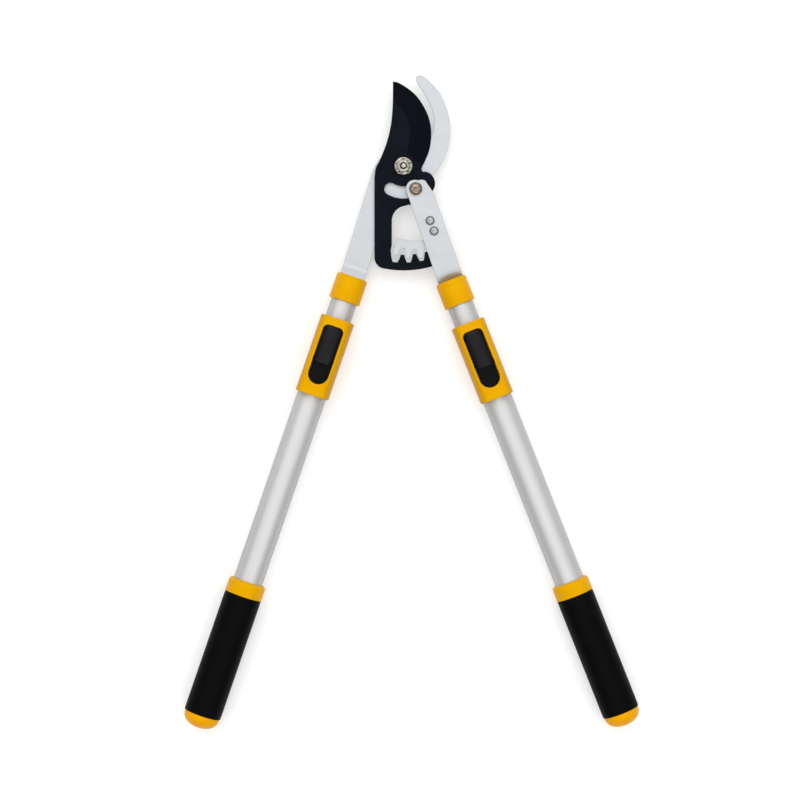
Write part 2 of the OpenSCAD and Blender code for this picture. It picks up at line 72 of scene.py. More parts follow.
joints = {joint["name"]: joint for joint in frame["joints"]}
mounts = {mount["name"]: mount for mount in frame["record"]["mounts"]}

# Stations along a handle, from the origin of its own frame
FACE_T = 80  # the middle of its rest face
FERRULE_TOP = {"left": -0.6, "right": -2.2}
FERRULE_LENGTH = 26.3
INNER_T = (3, 406)
OUTER_T = (50, 461.7)
HOUSING_T = (44.4, 124.7)
COLLAR_T = (321.6, 336.4)
GRIP_T = (336.4, 461.8)
CAP_T = (461.8, 475.8)
BUTTON_T = (53.6, 112)
SPLIT_T = 91.2  # the step between the rocker and the thumb pad
PIN_T = 62
AXLE_T = 88
SPRING_T = 104
SCREW_T = 117
RIVET_T = (9, 18)
HOLE_PITCH = 50  # holes for the lock pin, the first of them at PIN_T
HOLES = 7

# Radii of a handle's round pieces
INNER_R = 13
OUTER_R = 14.7
WALL = 1.5
GRIP_R = 18.8
CAP_R = 18
FERRULE_R = 15.85
SPRING_R = 2.4

# Heights above a handle's axis
FRONT_H = 24
BACK_H = -19
POCKET_H = 17
WELL_H = 15.9
SPRING_TOP_H = 19.3
AXLE_H = 20
ROCKER_H = 25.9
PAD_H = 23.7

# Height of the handles' axes above the floor
AXIS_H = 19

# Half widths across a handle, and the button's corner radius and the gap round it
HOUSING_HALF = 17.1
AXLE_HALF = 12.6
BUTTON_HALF = 9.7
BUTTON_CORNER = 4.5
BUTTON_GAP = 1

# Rivets of the toothed sector, across and along from the main pivot
SECTOR_RIVETS = {"upper": (26.5, -54.7), "lower": (30.5, -65)}


# ---- mesh tools ----

def rounded(points, closed=False, steps=5):
    """Points of a polyline of (x, y) or (x, y, fillet radius), with an arc at each corner that has one."""
    out = []
    count = len(points)
    for i, point in enumerate(points):
        here = Vector(point[:2])
        fillet = point[2] if len(point) > 2 else 0
        if not fillet or (not closed and i in (0, count - 1)):
            out.append(tuple(here))
            continue
        back = (Vector(points[i - 1][:2]) - here).normalized()
        ahead = (Vector(points[(i + 1) % count][:2]) - here).normalized()
        half = back.angle(ahead) / 2
        centre = here + (back + ahead).normalized() * fillet / sin(half)
        first = here + back * fillet / tan(half) - centre
        last = here + ahead * fillet / tan(half) - centre
        start = atan2(first.y, first.x)
        sweep = (atan2(last.y, last.x) - start + pi) % (2 * pi) - pi
        for k in range(steps + 1):
            turn = start + sweep * k / steps
            out.append((centre.x + fillet * cos(turn), centre.y + fillet * sin(turn)))
    return out


def lathe(profile, closed=False, steps=STEPS):
    """Vertices and faces of a profile of (along, radius) turned about Z."""
    verts, rings = [], []
    for along, radius in profile:
        if radius < 1e-6:
            rings.append([len(verts)] * steps)
            verts.append((0, 0, along))
            continue
        rings.append(list(range(len(verts), len(verts) + steps)))
        verts += [(radius * cos(2 * pi * k / steps), radius * sin(2 * pi * k / steps), along)
                  for k in range(steps)]
    pairs = list(zip(rings, rings[1:] + rings[:1] if closed else rings[1:]))
    return verts, stitch(pairs)


def stitch(pairs):
    """Faces between pairs of closed rings of the same length; a ring may be one repeated point."""
    faces = []
    for low, high in pairs:
        for k in range(len(low)):
            n = (k + 1) % len(low)
            face = []
            for v in (low[k], low[n], high[n], high[k]):
                if v not in face:
                    face.append(v)
            if len(face) > 2:
                faces.append(face)
    return faces


def loft(sections):
    """Vertices and faces of a closed body through sections of (x, y, z) points, with flat ends."""
    count = len(sections[0])
    verts = [point for section in sections for point in section]
    rings = [list(range(i * count, (i + 1) * count)) for i in range(len(sections))]
    faces = stitch(list(zip(rings, rings[1:])))
    return verts, faces + [rings[0][::-1], rings[-1]]


def prism(outline, low, high):
    """Vertices and faces of an outline of (x, along) standing from height low to height high."""
    return loft([[(x, height, along) for x, along in outline] for height in (low, high)])


def box_shape(x0, x1, y0, y1, z0, z1):
    """Vertices and faces of a box."""
    corners = [(x0, y0), (x1, y0), (x1, y1), (x0, y1)]
    return loft([[(x, y, z) for x, y in corners] for z in (z0, z1)])


def turned(shape, angle):
    """The shape turned about Z."""
    verts, faces = shape
    c, s = cos(angle), sin(angle)
    return [(x * c - y * s, x * s + y * c, z) for x, y, z in verts], faces


def make_mesh(name, shape):
    """A mesh in metres from vertices in millimetres and faces."""
    verts, faces = shape
    mesh = bpy.data.meshes.new(name)
    mesh.from_pydata([Vector(v) * MM for v in verts], [], faces)
    outward(mesh)
    return mesh


def outward(mesh):
    """Joins vertices that coincide and turns every face outward."""
    work = bmesh.new()
    work.from_mesh(mesh)
    bmesh.ops.remove_doubles(work, verts=work.verts, dist=1e-7)
    bmesh.ops.recalc_face_normals(work, faces=work.faces)
    work.to_mesh(mesh)
    work.free()


def cut(mesh, *shapes):
    """The mesh with each shape taken out of it."""
    body = bpy.data.objects.new("body", mesh)
    bpy.context.collection.objects.link(body)
    tools = []
    for shape in shapes:
        tool = bpy.data.objects.new("tool", make_mesh("tool", shape))
        bpy.context.collection.objects.link(tool)
        tools.append(tool)
        hole = body.modifiers.new("hole", "BOOLEAN")
        hole.operation = "DIFFERENCE"
        hole.solver = "EXACT"
        hole.object = tool
    bpy.context.view_layer.update()
    made = bpy.data.meshes.new_from_object(body.evaluated_get(bpy.context.evaluated_depsgraph_get()))
    for thing in [body, *tools]:
        bpy.data.objects.remove(thing)
    return made


def finish_edges(thing, width):
    """Small rounded edges, shaded as one with the faces beside them."""
    bevel = thing.modifiers.new("edges", "BEVEL")
    bevel.width = width * MM
    bevel.segments = 3
    bevel.limit_method = "ANGLE"
    bevel.angle_limit = radians(38)
    bevel.use_clamp_overlap = True
    normals = thing.modifiers.new("normals", "WEIGHTED_NORMAL")
    normals.mode = "FACE_AREA"
    normals.weight = 100


def piece(name, mesh, place, body, material, stands_for, edges=0):
    """Puts a mesh made in its own frame where place says, and ties it to the frame."""
    local = mesh.attributes.get("local") or mesh.attributes.new("local", "FLOAT_VECTOR", "POINT")
    flat = [c for v in mesh.vertices for c in v.co]
    local.data.foreach_set("vector", flat)
    mesh.transform(place)
    mesh.materials.clear()
    mesh.materials.append(material)
    for polygon in mesh.polygons:
        polygon.use_smooth = True
    mesh.set_sharp_from_angle(angle=SHARP)
    made = bpy.data.objects.new(name, mesh)
    bpy.context.collection.objects.link(made)
    if edges:
        finish_edges(made, edges)
    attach(made, body)
    if stands_for:
        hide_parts(*stands_for)
    return made


# ---- materials ----

def node(tree, kind, inputs=None, **settings):
    """A shader node with its settings, and each input linked to a socket or set to a value."""
    made = tree.nodes.new("ShaderNode" + kind)
    for key, value in settings.items():
        setattr(made, key, value)
    for key, value in (inputs or {}).items():
        if isinstance(value, bpy.types.NodeSocket):
            tree.links.new(value, made.inputs[key])
        else:
            made.inputs[key].default_value = value
    return made


class Surface:
    """A procedural material on one Principled shader."""

    def __init__(self, name, on_cad=False, **constants):
        self.material = bpy.data.materials.new(name)
        self.material.use_nodes = True
        self.tree = self.material.node_tree
        self.shader = self.tree.nodes["Principled BSDF"]
        for key, value in constants.items():
            self.shader.inputs[key.replace("_", " ")].default_value = value
        if on_cad:
            self.coords = node(self.tree, "TexCoord").outputs["Object"]
        else:
            self.coords = node(self.tree, "Attribute", attribute_name="local").outputs["Vector"]

    def stretched(self, scale, turn=0):
        """Coordinates scaled along each axis, for lines and streaks."""
        return node(self.tree, "Mapping", {
            "Vector": self.coords, "Scale": scale, "Rotation": (0, 0, turn)}).outputs["Vector"]

    def noise(self, scale, detail=3, vector=None, roughness=0.5):
        return node(self.tree, "TexNoise", {
            "Vector": vector or self.coords, "Scale": scale, "Detail": detail,
            "Roughness": roughness}).outputs["Fac"]

    def spread(self, value, low, high, start=0.3, stop=0.7):
        """The value's range from start to stop, spread from low to high."""
        return node(self.tree, "MapRange", {
            "Value": value, "From Min": start, "From Max": stop,
            "To Min": low, "To Max": high}).outputs["Result"]

    def mix(self, factor, first, second):
        """A colour between two, each of them a socket or plain values."""
        made = node(self.tree, "Mix", data_type="RGBA")
        self.tree.links.new(factor, made.inputs["Factor"])
        for key, value in (("A", first), ("B", second)):
            socket = next(s for s in made.inputs if s.name == key and s.type == "RGBA")
            if isinstance(value, bpy.types.NodeSocket):
                self.tree.links.new(value, socket)
            else:
                socket.default_value = (*value, 1)
        return next(s for s in made.outputs if s.type == "RGBA")

    def maths(self, operation, *values):
        return node(self.tree, "Math", dict(enumerate(values)), operation=operation).outputs[0]

    def edge_wear_and_light(self, radius):
        """0 on open faces, rising to 1 on convex edges."""
        soft = node(self.tree, "Bevel", {"Radius": radius * MM}, samples=6).outputs["Normal"]
        hard = node(self.tree, "NewGeometry").outputs["Normal"]
        dot = node(self.tree, "VectorMath", {0: soft, 1: hard}, operation="DOT_PRODUCT")
        return self.spread(dot.outputs["Value"], 1, 0, 0.80, 0.985)

    def open_sky(self, reach):
        """1 in the open, falling toward 0 in a recess of the piece itself."""
        return node(self.tree, "AmbientOcclusion", {"Distance": reach * MM},
                    samples=8, only_local=True).outputs["AO"]

    def bump(self, height, strength, depth, under=None):
        inputs = {"Height": height, "Strength": strength, "Distance": depth * MM}
        if under is not None:
            inputs["Normal"] = under
        return node(self.tree, "Bump", inputs).outputs["Normal"]

    def set(self, **sockets):
        """Links what is made to the shader's sockets, and gives the material."""
        for key, value in sockets.items():
            self.tree.links.new(value, self.shader.inputs[key.replace("_", " ")])
        return self.material


def satin_steel(name, turn):
    """Blasted plate steel with faint grinding lines at an angle, and its edges painted darker as shade."""
    s = Surface(name, on_cad=True, Metallic=1.0)
    cloud = s.noise(45, 4)
    lines = s.noise(1, 4, s.stretched((140, 3200, 140), turn), 0.6)
    grain = s.noise(3800, 2)
    edge_shade = s.edge_wear_and_light(0.8)
    colour = s.mix(s.spread(cloud, 0, 1), (0.440, 0.458, 0.475), (0.490, 0.508, 0.525))
    # The edges are painted darker: painted shade for the dark that the cut edges reflect.
    colour = s.mix(edge_shade, colour, (0.20, 0.205, 0.21))
    rough = s.maths("ADD", s.spread(lines, 0.45, 0.55), s.spread(cloud, -0.02, 0.03))
    normal = s.bump(grain, 0.18, 0.05, s.bump(lines, 0.12, 0.06))
    return s.set(Base_Color=colour, Roughness=rough, Normal=normal)


def blade_coating():
    """Blue-black low-friction coating, painted darker on the tilted ground face as shade, and rubbed thin on the
    edges.
    """
    s = Surface("blade_coating", on_cad=True, Metallic=0.0)
    s.shader.inputs["Specular IOR Level"].default_value = 0.05
    s.shader.inputs["Specular Tint"].default_value = (0.75, 0.85, 1.0, 1)
    cloud = s.noise(38, 5, roughness=0.6)
    grain = s.noise(2600, 3)
    scratch = s.noise(1, 3, s.stretched((90, 2400, 90), radians(24)), 0.7)
    slope = node(s.tree, "SeparateXYZ", {"Vector": node(s.tree, "NewGeometry").outputs["True Normal"]})
    flat = s.spread(slope.outputs["Z"], 0, 1, 0.9945, 0.999)
    rubbed = s.maths("MULTIPLY", s.edge_wear_and_light(0.45), s.spread(s.noise(420, 3), 0.10, 0.55))
    colour = s.mix(s.spread(cloud, 0, 1), (0.0022, 0.0030, 0.0052), (0.0044, 0.0058, 0.0094))
    # The tilted ground face is painted darker as shade; flat is 1 on the flat faces.
    colour = s.mix(flat, (0.0008, 0.0012, 0.0030), colour)
    colour = s.mix(rubbed, colour, (0.035, 0.038, 0.042))
    rough = s.maths("ADD", s.spread(grain, 0.36, 0.46), s.spread(scratch, -0.03, 0.06))
    normal = s.bump(grain, 0.16, 0.05, s.bump(scratch, 0.05, 0.04))
    return s.set(Base_Color=colour, Roughness=rough, Normal=normal)


def turned_metal(name, dark, bright, rough, recess_shade=(0.035, 0.03, 0.025)):
    """Plated steel with turning marks round the piece's own axis, painted darker in its recesses as shade, and
    lighter on its edges partly as wear and partly as a painted highlight.
    """
    s = Surface(name, Metallic=1.0)
    split = node(s.tree, "SeparateXYZ", {"Vector": s.coords})
    radius = s.maths("SQRT", s.maths("ADD", s.maths("POWER", split.outputs["X"], 2),
                                     s.maths("POWER", split.outputs["Y"], 2)))
    rings = s.maths("SINE", s.maths("MULTIPLY", radius, 2 * pi / (0.35 * MM)))
    cloud = s.noise(320, 4)
    grain = s.noise(5200, 2)
    colour = s.mix(s.spread(cloud, 0, 1, 0.35, 0.65), dark, bright)
    # Edges lighter than the bright tone: partly worn plating, partly a painted highlight.
    colour = s.mix(s.edge_wear_and_light(0.25), colour, tuple(min(1, c * 1.35) for c in bright))
    # Painted shade: the recesses darken toward the shade colour where the piece hides its own sky.
    colour = s.mix(s.spread(s.open_sky(2.2), 0, 1, 0.40, 0.86), recess_shade, colour)
    normal = s.bump(grain, 0.2, 0.03, s.bump(rings, 0.05, 0.02))
    return s.set(Base_Color=colour, Roughness=s.spread(cloud, rough - 0.06, rough + 0.08), Normal=normal)


def drawn_tube(name, dark, bright, rough):
    """Anodised aluminium tube with fine lines along it."""
    s = Surface(name, Metallic=0.85, Specular_Tint=(0.2, 0.2, 0.2, 1))
    lines = s.noise(1, 3, s.stretched((2600, 2600, 14)), 0.6)
    broad = s.noise(1, 2, s.stretched((260, 260, 5)))
    grain = s.noise(4200, 2)
    colour = s.mix(s.spread(broad, 0, 1), dark, bright)
    roughness = s.maths("ADD", s.spread(lines, rough - 0.04, rough + 0.05), s.spread(broad, -0.02, 0.02))
    normal = s.bump(grain, 0.15, 0.03, s.bump(lines, 0.08, 0.03))
    return s.set(Base_Color=colour, Roughness=roughness, Normal=normal)


def moulded(name, dark, bright, rough, texture=2400, relief=0.10, gloss=0.5, tint=(1, 1, 1), on_cad=False,
            flank_shade=None, flank_from=11, flank_to=17, rim=None):
    """Moulded plastic with a fine spark-eroded texture; its flanks can be painted darker as shade and its rims
    painted lighter as a highlight.
    """
    s = Surface(name, on_cad, Metallic=0.0)
    s.shader.inputs["Specular IOR Level"].default_value = gloss
    s.shader.inputs["Specular Tint"].default_value = (*tint, 1)
    cloud = s.noise(55, 3)
    grain = s.noise(texture, 2)
    flow = s.noise(260, 2)
    colour = s.mix(s.spread(cloud, 0, 1), dark, bright)
    # Painted shade: the flanks darken toward the flank colour away from the middle.
    if flank_shade:
        across = s.maths("ABSOLUTE", node(s.tree, "SeparateXYZ", {"Vector": s.coords}).outputs["X"])
        colour = s.mix(s.spread(across, 0, 1, flank_from * MM, flank_to * MM), colour, flank_shade)
    # Painted highlight: convex rims lighten toward the rim colour.
    if rim:
        colour = s.mix(s.edge_wear_and_light(1.1), colour, rim)
    roughness = s.maths("ADD", s.spread(grain, rough - 0.04, rough + 0.06), s.spread(flow, -0.02, 0.02))
    normal = s.bump(grain, relief, 0.04, s.bump(flow, 0.03, 0.2))
    return s.set(Base_Color=colour, Roughness=roughness, Normal=normal)


def grip_rubber():
    """Soft black rubber with a pebbled skin."""
    s = Surface("grip_rubber", Metallic=0.0)
    s.shader.inputs["Specular IOR Level"].default_value = 0.05
    cells = node(s.tree, "TexVoronoi", {"Vector": s.coords, "Scale": 1300.0}).outputs["Distance"]
    grain = s.noise(3400, 2)
    cloud = s.noise(60, 3)
    colour = s.mix(s.spread(cloud, 0, 1), (0.0006, 0.0006, 0.0006), (0.0012, 0.0011, 0.0011))
    normal = s.bump(grain, 0.1, 0.03, s.bump(cells, 0.2, 0.08))
    return s.set(Base_Color=colour, Roughness=s.spread(grain, 0.46, 0.58), Normal=normal)


def floor_paper():
    """Matt white paper that glows a little, so that the page round the tool stays white."""
    s = Surface("floor_paper", on_cad=True, Metallic=0.0, Roughness=0.9, Emission_Strength=0.3)
    s.shader.inputs["Specular IOR Level"].default_value = 0.1
    cloud = s.noise(3, 2)
    return s.set(Base_Color=s.mix(s.spread(cloud, 0, 1), (0.72, 0.72, 0.72), (0.73, 0.73, 0.73)))


WARM = (1.0, 0.62, 0.06)
YELLOW = ((0.665, 0.325, 0.0008), (0.70, 0.352, 0.0012))
# Painted shade for the housing's flanks and a painted highlight for its rims.
FLANK_SHADE = (0.52, 0.25, 0.0012)
RIM_HIGHLIGHT = (0.70, 0.42, 0.055)
AMBER = ((0.74, 0.33, 0.001), (0.80, 0.355, 0.0015))

blade_black = blade_coating()
plate_left = satin_steel("satin_steel_left", radians(71))
plate_right = satin_steel("satin_steel_right", radians(111))
# Each turned metal is painted darker in its recesses as shade; the rivets' shade colour is given last.
fastener = turned_metal("fastener_steel", (0.22, 0.205, 0.18), (0.60, 0.575, 0.53), 0.26)
pin_steel = turned_metal("pin_steel", (0.20, 0.155, 0.12), (0.46, 0.385, 0.32), 0.26)
rivet_steel = turned_metal("rivet_steel", (0.27, 0.28, 0.285), (0.41, 0.42, 0.43), 0.34, (0.05, 0.052, 0.055))
inner_metal = drawn_tube("inner_aluminium", (0.53, 0.535, 0.535), (0.58, 0.585, 0.585), 0.54)
outer_metal = drawn_tube("outer_aluminium", (0.56, 0.565, 0.565), (0.61, 0.615, 0.615), 0.54)
yellow = moulded("yellow_plastic", *YELLOW, 0.42, gloss=0.2, tint=WARM)
# The housing's yellow, with painted shade on its flanks and a painted highlight on its rims.
yellow_housing_shaded = moulded("yellow_plastic_housing_shaded", *YELLOW, 0.42, gloss=0.2, tint=WARM, flank_shade=FLANK_SHADE, rim=RIM_HIGHLIGHT)
amber = moulded("amber_plastic", *AMBER, 0.42, gloss=0.2, tint=WARM)
# The rocker's flanks are painted darker as shade, beyond 3.5 mm from its middle.
black = moulded("black_plastic", (0.0068, 0.0056, 0.0072), (0.0108, 0.0090, 0.0112), 0.27, texture=1800,
                gloss=0.11, flank_shade=(0.0010, 0.0008, 0.0010), flank_from=3.5, flank_to=8.6)
# The thumb pad is painted darker than the rocker as shade for its dish.
pad_black_shaded = moulded("black_plastic_pad_shaded", (0.0022, 0.0024, 0.0024), (0.0040, 0.0042, 0.0042), 0.5,
                    texture=1500, relief=0.2, gloss=0.05)
black_cad = moulded("black_plastic_inside", (0.0040, 0.0038, 0.0042), (0.0065, 0.0062, 0.0070), 0.42,
                    texture=1800, relief=0.14, gloss=0.17, on_cad=True)
rubber = grip_rubber()
fastener_cad = satin_steel("fastener_plate", radians(30))


# ---- frames of the pieces ----

UP = Vector((0, 0, 1))


def own_frame(across, up, along, origin):
    """The matrix from a piece's own frame, with these axes and origin, to the shared one."""
    matrix = Matrix((across, up, along)).transposed().to_4x4()
    matrix.translation = origin
    return matrix


class Handle:
    """A telescopic handle: its frame has X across it, Y up and Z along it toward the grip."""

    def __init__(self, side, arm):
        self.side = side
        self.arm = arm
        self.outer = side + "_outer"
        self.button = side + "_button"
        along = Vector(joints[side + "_telescope"]["axis"]).normalized()
        low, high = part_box(side + "_grip_sleeve")
        face = Vector(mounts[side + "_rest_face"]["pos_m"])
        origin = face + UP * (low.z + high.z) / 2 - along * FACE_T * MM
        self.place = own_frame(UP.cross(along), UP, along, origin)

    def add(self, name, mesh, body, material, slot, stands_for, edges=0):
        """Adds a piece that stands for one CAD node of this handle."""
        return piece(f"{self.side}_{name}", mesh, self.place, body, material,
                     [f"{self.side}_{stands_for}"], edges)


# ---- pieces of a handle ----

def button_outline(grow=0, steps=10):
    """Outline of the button as (x, along): squarish at the jaw end and round at the grip end."""
    corner = BUTTON_CORNER + grow
    half = BUTTON_HALF + grow
    top, end = BUTTON_T[0] - grow, BUTTON_T[1] + grow
    centre = end - half
    outline = [(half * cos(pi * k / (2 * steps)), centre + half * sin(pi * k / (2 * steps)))
               for k in range(2 * steps + 1)]
    for side, start in ((-1, pi), (1, 3 * pi / 2)):
        outline += [(side * (half - corner) + corner * cos(start + pi / 2 * k / steps),
                     top + corner + corner * sin(start + pi / 2 * k / steps)) for k in range(steps + 1)]
    return outline


def half_width(along):
    """Half the button's width at a station."""
    corner, half = BUTTON_CORNER, BUTTON_HALF
    if along < BUTTON_T[0] + corner:
        return half - corner + sqrt(max(0, corner ** 2 - (BUTTON_T[0] + corner - along) ** 2))
    centre = BUTTON_T[1] - half
    return sqrt(max(0, half ** 2 - max(0, along - centre) ** 2))


def edge_distance(x, along):
    """Distance from a point inside the button's outline to the outline."""
    corner, half = BUTTON_CORNER, BUTTON_HALF
    centre = BUTTON_T[1] - half
    if along > centre:
        return half - hypot(x, along - centre)
    side = half - abs(x)
    if along < BUTTON_T[0] + corner and side < corner:
        return corner - hypot(corner - side, BUTTON_T[0] + corner - along)
    return min(side, along - BUTTON_T[0])


def button_top(x, along):
    """Height of the button's surface: a crowned upper part, a step, and a dished thumb rest below it."""
    if along < SPLIT_T:
        crest, reach, sag = 74, 22, 0.9
        middle = ROCKER_H - sag * ((along - crest) / reach) ** 2
        crown = 2.8
    else:
        share = (along - SPLIT_T) / (BUTTON_T[1] - SPLIT_T)
        dish, fall = 1.6, 0.5
        middle = PAD_H - dish * sin(pi * min(1, share * 1.1)) - fall * share
        crown = 1.2
    height = middle - crown * (x / BUTTON_HALF) ** 2
    fillet = 1.3
    near = max(0, min(fillet, edge_distance(x, along)))
    return height - fillet + sqrt(fillet ** 2 - (fillet - near) ** 2)


def button_base(along):
    """Height of the button's underside, which rises behind its axle so that it can tip."""
    flat, rise = 17.6, 0.13
    return flat if along < AXLE_T else flat + (along - AXLE_T) * rise


def rocker_stations(ends=9):
    """Where the upper part's sections are: close together round its corners and before the step."""
    corner = [BUTTON_T[0] + BUTTON_CORNER * (1 - cos(pi / 2 * k / ends)) for k in range(ends)]
    return corner + [57.5 + k * 2.5 for k in range(13)] + [89.6, 90.6, SPLIT_T - 0.02]


def pad_stations(ends=12):
    """Where the thumb pad's sections are: close together after the step and round its end."""
    round_from = BUTTON_T[1] - BUTTON_HALF
    stations = [SPLIT_T, SPLIT_T + 0.5, 92.6, 94.4, 96.4, 98.6, 100.6]
    stations += [round_from + BUTTON_HALF * sin(pi / 2 * k / ends) for k in range(ends + 1)]
    stations[-1] -= 0.01
    return stations


def button_shape(stations, across=28):
    """Vertices and faces of the part of the button between its first and last station."""
    sections = []
    for along in stations:
        half = half_width(along)
        reaches = [half * sin(pi / 2 * (2 * k / across - 1)) for k in range(across + 1)]
        section = [(x, button_top(x, along), along) for x in reaches]
        base = button_base(along)
        sections.append(section + [(half, base, along), (-half, base, along)])
    return loft(sections)


def housing_section(along, count=112):
    """Closed section of the lock housing: crowned in front, flatter behind, flared toward its ends."""
    middle = 1.0
    corner = 1.6
    near_end = min(along - HOUSING_T[0], HOUSING_T[1] - along)
    flare = 0.25 * max(0, 1 - near_end / 8) ** 2
    round_off = max(0, corner - near_end)
    shrink = corner - sqrt(max(0, corner ** 2 - round_off ** 2))
    half = HOUSING_HALF + flare - shrink
    points = []
    for k in range(count):
        turn = 2 * pi * k / count
        c, s = cos(turn), sin(turn)
        front = s > 0
        power = 2 / (3.8 if front else 4.2)
        height = (FRONT_H - middle) if front else (middle - BACK_H)
        height -= 0.6 * shrink
        x = half * abs(c) ** power * (1 if c >= 0 else -1)
        y = middle + height * abs(s) ** power * (1 if front else -1)
        points.append((x, y, along))
    return points


def housing_mesh():
    """The housing's skin, with its bore, the button's pocket, and holes for the screw, spring and axle."""
    first, last = HOUSING_T
    edge = [0, 0.06, 0.2, 0.4, 0.7, 1.1, 1.6, 3, 5, 8]
    stations = [first + e for e in edge] + [first + 12, 65, 80, 95, 110, last - 12]
    stations += [last - e for e in reversed(edge)]
    skin = make_mesh("lock_housing", loft([housing_section(t) for t in stations]))
    neck, seat, mouth = INNER_R + 0.2, OUTER_R + 0.05, OUTER_R + 0.8
    bore = lathe(rounded([
        (first - 1, 0), (first - 1, INNER_R + 0.9), (first + 0.6, neck), (OUTER_T[0], neck),
        (OUTER_T[0], seat), (last - 0.6, seat), (last + 1, mouth), (last + 1, 0)]))
    pocket = prism(button_outline(BUTTON_GAP), POCKET_H, FRONT_H + 6)
    head_h, head_r, thread_r = BACK_H + 2.8, 3.9, 2.2
    screw_hole = standing(SCREW_T, [
        (BACK_H - 2, 0), (BACK_H - 2, head_r), (head_h, head_r), (head_h, thread_r), (0, thread_r), (0, 0)])
    well = upright(SPRING_T, WELL_H, POCKET_H + 1, 3.2)
    axle = sideways(AXLE_T, -AXLE_HALF, AXLE_HALF, AXLE_H, 1.55)
    return cut(skin, bore, pocket, screw_hole, well, axle)


def standing(along, profile, steps=40):
    """Vertices and faces of a profile of (height, radius) turned about a line across the tube."""
    verts, faces = lathe(profile, steps=steps)
    return [(x, z, along + y) for x, y, z in verts], faces


def upright(along, low, high, radius):
    """Vertices and faces of a cylinder from height low to height high at a station."""
    return standing(along, [(low, 0), (low, radius), (high, radius), (high, 0)])


def sideways(along, low, high, height, radius, steps=32):
    """Vertices and faces of a cylinder across the handle at a station and height."""
    verts, faces = lathe([(low, 0), (low, radius), (high, radius), (high, 0)], steps=steps)
    return [(z, height + x, along + y) for x, y, z in verts], faces


def spring_mesh():
    """Coil of wire that stands in the housing's well, with its ends wound flatter."""
    turns, steps, sides = 3, 28, 10
    wire = 0.25
    rise = SPRING_TOP_H - WELL_H - 2 * wire
    sections = []
    for i in range(turns * steps + 1):
        a = 2 * pi * i / steps
        share = i / (turns * steps)
        height = WELL_H + wire + rise * share * share * (3 - 2 * share)
        section = []
        for j in range(sides):
            b = 2 * pi * j / sides
            reach = SPRING_R + wire * cos(b)
            section.append((reach * cos(a), height + wire * sin(b), SPRING_T + reach * sin(a)))
        sections.append(section)
    return make_mesh("button_spring", loft(sections))


def ferrule_mesh(side):
    """A sleeve closed round the tang at its top and open round the inner tube below."""
    first = FERRULE_TOP[side]
    last = first + FERRULE_LENGTH
    floor = INNER_T[0]
    bore = INNER_R + 0.05
    return make_mesh("ferrule", lathe(rounded([
        (first, 0), (first, FERRULE_R - 0.15, 2.4), (last - 6, FERRULE_R - 0.05, 8),
        (last, FERRULE_R + 0.05, 1.2), (last, INNER_R + 0.5, 0.3), (last - 1, bore), (floor, bore),
        (floor, 0)])))


def tube_mesh(name, span, radius):
    """A tube with its edges broken."""
    first, last = span
    bore = radius - WALL
    edge = 0.35
    return make_mesh(name, lathe(rounded([
        (first, bore, edge), (first, radius, edge), (last, radius, edge), (last, bore, edge)],
        closed=True, steps=3), closed=True, steps=128))


def collar_mesh():
    """A ring that swells to the grip's radius."""
    first, last = COLLAR_T
    bore = OUTER_R + 0.05
    return make_mesh("grip_collar", lathe(rounded([
        (first, bore), (first, GRIP_R - 2.0, 0.5), (first + 1.6, GRIP_R + 0.05, 1.8),
        (last - 1.2, GRIP_R + 0.1, 0.5), (last, GRIP_R, 0.4), (last, bore)], closed=True), closed=True))


def sleeve_mesh():
    """The rubber grip, rounded off a little toward both ends."""
    first, last = GRIP_T
    bore = OUTER_R + 0.05
    return make_mesh("grip_sleeve", lathe(rounded([
        (first, bore), (first, GRIP_R - 0.2, 0.5), (first + 5, GRIP_R, 4), (last - 5, GRIP_R, 4),
        (last, GRIP_R - 0.1, 0.4), (last, bore)], closed=True), closed=True, steps=128))


def cap_mesh(steps=16):
    """A domed cap with a spigot that goes into the outer tube."""
    first, last = CAP_T
    rim = 0.9
    spigot, spigot_r = 18, 13.15
    power = 2 / 2.2
    quarter = [pi / 2 * k / steps for k in range(steps + 1)]
    dome = [(first + rim + (last - first - rim) * sin(a) ** power, CAP_R * cos(a) ** power) for a in quarter]
    return make_mesh("end_cap", lathe([
        (first - spigot, 0), (first - spigot, spigot_r - 0.75), (first - spigot + 0.8, spigot_r),
        (first, spigot_r), (first, CAP_R - 0.4), (first + 0.15, CAP_R - 0.1), (first + 0.5, CAP_R),
        *dome[:-1], (last, 0)]))


def screw_mesh():
    """A countersunk screw with a crossed recess, its head at the origin."""
    screw = make_mesh("screw", lathe(rounded([
        (0.6, 0), (0.6, 3.5, 0.4), (1.3, 3.7, 0.4), (2.8, 2.0, 0.2), (5.8, 1.9, 0.2), (6.6, 0)]), steps=48))
    thin, long, depth = 0.45, 2.1, 1.7
    across = box_shape(-thin, thin, -long, long, 0, depth)
    along = box_shape(-long, long, -thin, thin, 0, depth)
    return cut(screw, across, along)


